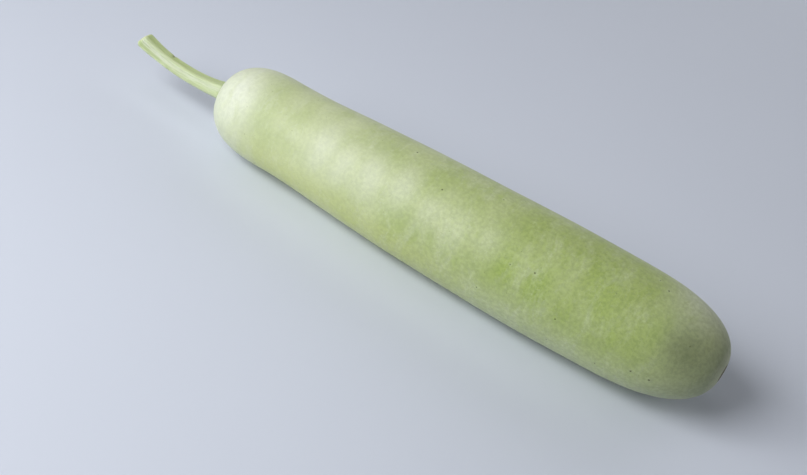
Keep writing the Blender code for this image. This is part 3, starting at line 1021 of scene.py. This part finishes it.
def stem_material(settings):
    """Green stalk with pale crests, a pale streak that is partly painted light, long fibres, and a pale wet
    cut.
    """
    mix = Recipe(bpy.data.materials.new("gourd_stem"))
    fibre_space = mix.attribute("fibre", "Vector")

    def drawn_out(width, squeeze, *look):
        """Noise in threads along the stem."""
        return mix.noise(mix.stretched(fibre_space, (1.0, 1.0, squeeze)), width, *look)

    fibres = drawn_out(*FIBRE_THREADS)
    threads = drawn_out(*FINE_THREADS)
    lines = drawn_out(*LINES)
    blotches = mix.noise(mix.place, *BLOTCHES)
    crest = mix.times(mix.ramp(mix.attribute("rib"), 0.55, 1.0), CREST_COVER)
    # Partly painted light: the pale streak on the side turned to the light, while the green top stands in
    # for its shade
    pale = mix.times(mix.attribute("bleach"), mix.ramp(fibres, 0.15, 0.55))
    colour = mix.blend(mix.calc("MAXIMUM", crest, pale), settings.groove_colour, settings.rib_colour)
    colour = mix.tint(colour, mix.ramp(lines, 0.47, 0.66), *GREEN_LINE_TINT)
    colour = mix.tint(colour, mix.ramp(lines, 0.42, 0.28), settings.rib_colour, PALE_LINE_COVER)
    colour = mix.tint(colour, mix.ramp(blotches, 0.40, 0.75), *DULL_TINT)
    threaded = mix.blend(mix.ramp(threads, 0.3, 0.7), *THREAD_TONES)
    colour = mix.blend(1.0, colour, threaded, "MULTIPLY")

    share = mix.attribute("share")
    colour = mix.tint(colour, mix.ramp(share, 0.55, 0.05), *LOWER_TINT)
    # Painted shade at the stem's foot, where it meets the fruit
    colour = mix.tint(colour, mix.ramp(share, 0.06, 0.0), *FOOT_SHADE_TINT)
    colour = mix.tint(colour, mix.ramp(share, 0.90, 1.0), settings.rind_colour, RIND_COVER)
    colour = mix.tint(colour, mix.attribute("nick"), *NICK_TINT)

    flesh_tone = mix.noise(mix.place, *FLESH_GRAIN)
    flesh = mix.blend(mix.ramp(flesh_tone, 0.35, 0.7), settings.cut_colour, DAMP_FLESH)
    core = mix.attribute("core")
    axes = mix.axes(fibre_space)
    turn = mix.calc("ARCTAN2", axes["Y"], axes["X"])
    bundle = mix.ramp(mix.calc("COSINE", mix.times(turn, BUNDLES)), 0.1, 0.9)
    starts, ends = BUNDLE_RING
    band = mix.times(mix.ramp(core, *starts), mix.ramp(core, *ends))
    flesh = mix.tint(flesh, mix.times(bundle, band), *BUNDLE_TINT)
    flesh = mix.tint(flesh, mix.ramp(core, 0.62, 0.88), *CORE_TINT)
    colour = mix.blend(mix.attribute("cut"), colour, flesh)
    normal = mix.relief((fibres, FIBRE_RELIEF), (threads, THREAD_RELIEF))
    rough = mix.plus(mix.times(fibres, 0.2), 0.40)
    return mix.finish(
        Base_Color=colour,
        Roughness=rough,
        Normal=normal,
        Subsurface_Weight=0.10,
        Subsurface_Radius=(1.0, 1.0, 0.5),
        Subsurface_Scale=0.0015,
        Sheen_Weight=0.15,
        Sheen_Roughness=0.4,
    )


def floor_material(settings):
    """Smooth pale card with the faintest cloudiness, which glows far out so that no edge shows."""
    mix = Recipe(bpy.data.materials.new("studio_floor"))
    clouds = mix.noise(mix.place, *FLOOR_CLOUDS)
    grain = mix.noise(mix.place, *FLOOR_GRAIN)
    cloudy = mix.blend(mix.ramp(clouds, 0.3, 0.7), *FLOOR_TONES)
    colour = mix.blend(1.0, settings.floor_colour, cloudy, "MULTIPLY")
    far = mix.ramp(mix.distance((0.0, 0.0, 0.0)), *FAR_FLOOR)
    return mix.finish(
        Base_Color=colour,
        Roughness=0.65,
        Normal=mix.relief((grain, FLOOR_RELIEF)),
        Emission_Color=settings.floor_colour,
        Emission_Strength=mix.times(far, settings.horizon_strength),
    )


def looking_at(location, aim, roll=0.0):
    """The place and turn of something at this location that looks at an aim, upright but for its roll."""
    turn = (aim - location).to_track_quat("-Z", "Y").to_matrix().to_4x4()
    return Matrix.Translation(location) @ turn @ Matrix.Rotation(roll, 4, "Z")


def make_floor(settings):
    """A floor so wide that its edge is never near."""
    bm = bmesh.new()
    bmesh.ops.create_circle(bm, cap_ends=True, segments=FLOOR_SIDES, radius=FLOOR_RADIUS)
    floor = placed_mesh(bm, "floor", floor_material(settings))


def make_soft_light(name, place, size, power):
    """A square soft light at this place, turned to the fruit."""
    lamp = bpy.data.lights.new(name, "AREA")
    lamp.shape = "SQUARE"
    lamp.size = size
    lamp.energy = power
    placed(name, lamp).matrix_world = looking_at(place, LIGHTS_AIM)
    return lamp


def make_sky(settings):
    """Soft light from all round, brighter in a low band that meets the far floor."""
    mix = Recipe(bpy.data.worlds.new("studio_sky"), "Background")
    inputs = {
        "Value": mix.axes(mix.spaces["Generated"])["Z"],
        "From Min": math.sin(HORIZON_BAND),
        "From Max": 0.0,
        "To Min": settings.sky_strength,
        "To Max": settings.horizon_strength,
    }
    band = mix.node("ShaderNodeMapRange", inputs).outputs["Result"]
    bpy.context.scene.world = mix.finish(Color=settings.sky_colour, Strength=band)


def make_camera(settings):
    """The camera, on an arc round the point that it aims at."""
    azimuth, elevation = settings.azimuth, settings.elevation
    flat = math.cos(elevation)
    back = Vector((math.sin(azimuth) * flat, -math.cos(azimuth) * flat, math.sin(elevation)))
    data = bpy.data.cameras.new("camera")
    data.lens = settings.lens
    data.sensor_width = SENSOR_WIDTH
    camera = placed("camera", data)
    camera.matrix_world = looking_at(CAMERA_AIM + settings.distance * back, CAMERA_AIM, settings.roll)
    bpy.context.scene.camera = camera


class OBJECT_OT_gourd_skin(bpy.types.Operator):
    """Build the fruit's skin with its seat, its scar and its mottled finish"""

    bl_idname = "object.gourd_skin"
    bl_label = "Build Skin"

    def execute(self, context):
        settings = context.scene.gourd_skin
        fruit = Fruit(settings)
        stem = Stem(context.scene.gourd_stem, fruit)
        bm = spun(skin_outline(fruit), SKIN_SIDES)
        shape_skin(bm, fruit, stem)
        finished_piece(bm, "gourd_skin", skin_material(settings, fruit), "fruit")
        return {"FINISHED"}


class OBJECT_OT_gourd_stem(bpy.types.Operator):
    """Build the cut, ribbed stem"""

    bl_idname = "object.gourd_stem"
    bl_label = "Build Stem"

    def execute(self, context):
        settings = context.scene.gourd_stem
        stem = Stem(settings, Fruit(context.scene.gourd_skin))
        piece = finished_piece(shape_stem(stem), "gourd_stem", stem_material(settings), "stem")
        piece.data.set_sharp_from_angle(angle=SHARP_ANGLE)
        return {"FINISHED"}


class SCENE_OT_gourd_studio(bpy.types.Operator):
    """Build the floor, the lights and the camera"""

    bl_idname = "scene.gourd_studio"
    bl_label = "Build Studio"

    def execute(self, context):
        settings = context.scene.gourd_studio
        make_floor(settings)
        lamps = {}
        for name, place in LIGHT_PLACES.items():
            size = getattr(settings, name + "_size")
            power = getattr(settings, name + "_power")
            lamps[name] = make_soft_light(name + "_light", place, size, power)
        lamps["key"].spread = settings.key_spread
        make_sky(settings)
        make_camera(settings)
        context.scene.view_settings.view_transform = "Standard"
        return {"FINISHED"}


class VIEW3D_PT_bottle_gourd(bpy.types.Panel):
    """The gourd's builders and their settings"""

    bl_idname = "VIEW3D_PT_bottle_gourd"
    bl_label = "Bottle Gourd"
    bl_space_type = "VIEW_3D"
    bl_region_type = "UI"
    bl_category = "Bottle Gourd"

    def draw(self, context):
        for name, _, operator in BUILDERS:
            box = self.layout.box()
            box.operator(operator.bl_idname)
            group = getattr(context.scene, name)
            for setting in group.bl_rna.properties.keys():
                if setting not in ("rna_type", "name"):
                    box.prop(group, setting)


# The settings' name on the scene, their class and their operator, in the order that these run in
BUILDERS = (
    ("gourd_skin", GourdSkinSettings, OBJECT_OT_gourd_skin),
    ("gourd_stem", GourdStemSettings, OBJECT_OT_gourd_stem),
    ("gourd_studio", GourdStudioSettings, SCENE_OT_gourd_studio),
)
CLASSES = (*[made for _, *pair in BUILDERS for made in pair], VIEW3D_PT_bottle_gourd)


def register():
    for made in CLASSES:
        bpy.utils.register_class(made)
    for name, group, _ in BUILDERS:
        setattr(bpy.types.Scene, name, PointerProperty(type=group))


def unregister():
    for name, _, _ in BUILDERS:
        delattr(bpy.types.Scene, name)
    for made in reversed(CLASSES):
        bpy.utils.unregister_class(made)


def main():
    register()
    bpy.ops.object.gourd_skin()
    bpy.ops.object.gourd_stem()
    bpy.ops.scene.gourd_studio()


if __name__ == "__main__":
    main()
